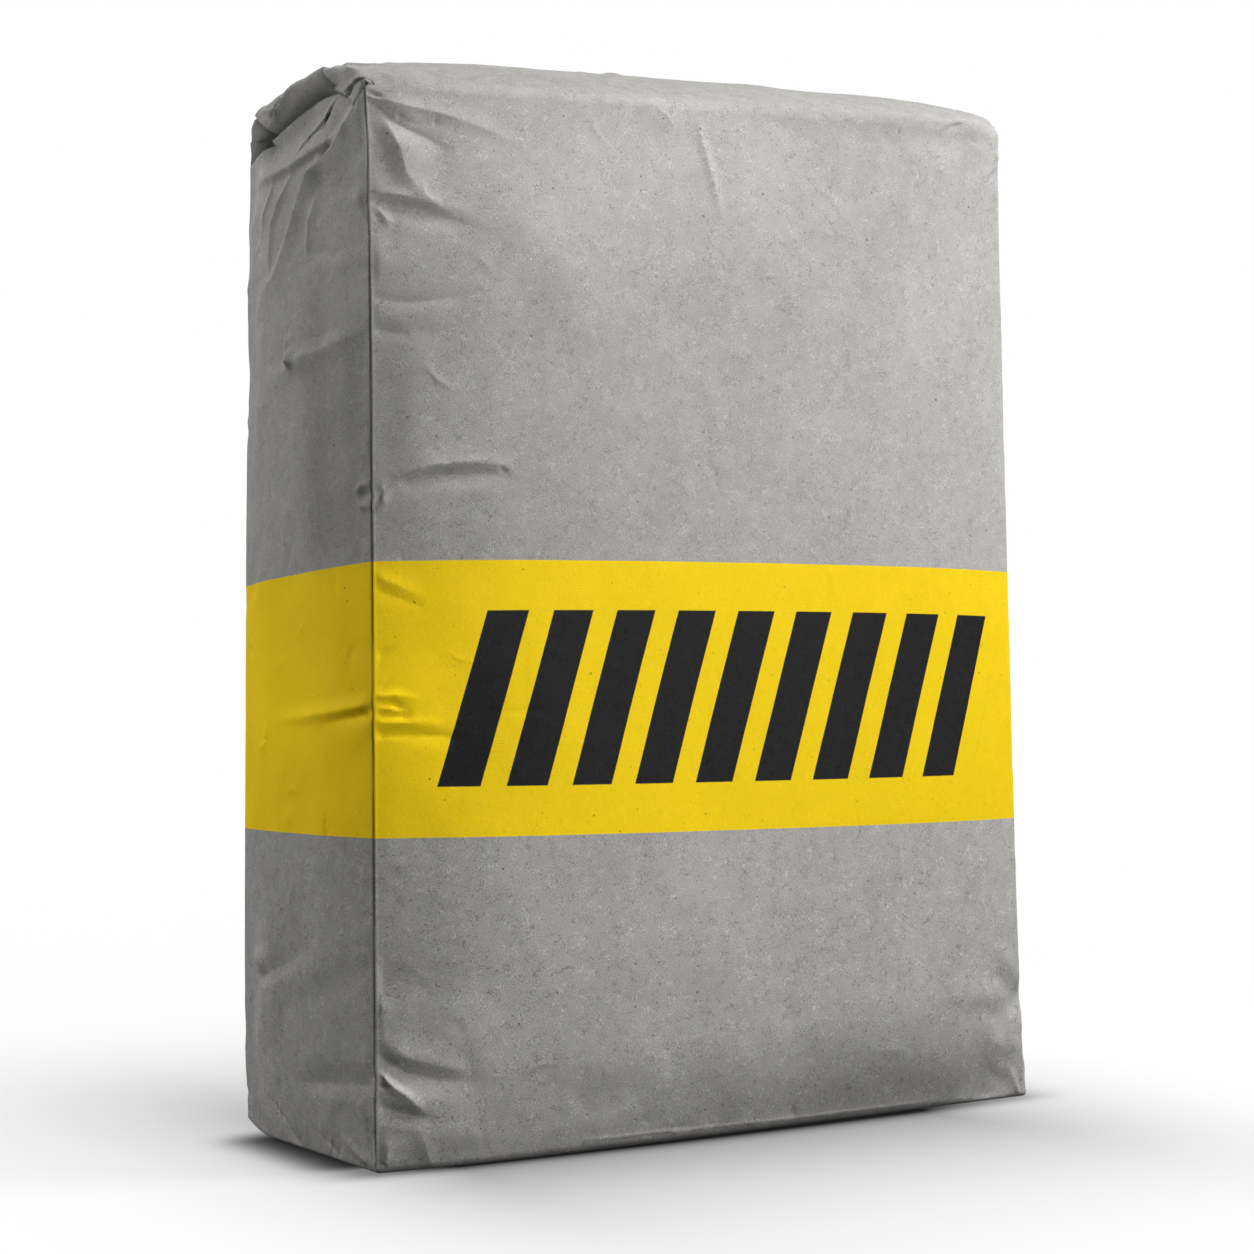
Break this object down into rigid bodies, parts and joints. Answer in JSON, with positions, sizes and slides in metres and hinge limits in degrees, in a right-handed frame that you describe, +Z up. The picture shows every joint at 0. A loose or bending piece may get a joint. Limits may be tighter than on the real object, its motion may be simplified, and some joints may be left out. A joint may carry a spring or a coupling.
{
  "type": "cement bag",
  "caption": "Tightly filled paper cement sack standing on its base, with a bulged front, an arched top, a folded top corner and a coloured band around it.",
  "frame": {"origin": "middle of the base, on the floor", "axes": "+Z up along the sack's height, -Y out of the printed front panel, +X to the right of that panel"},
  "size_m": [0.4259, 0.1868, 0.5878],
  "materials": {
    "sack_paper": "matte grey kraft paper with a printed yellow band"
  },
  "bodies": {
    "root": {"cement_sack": "sack_paper"}
  },
  "joints": []
}
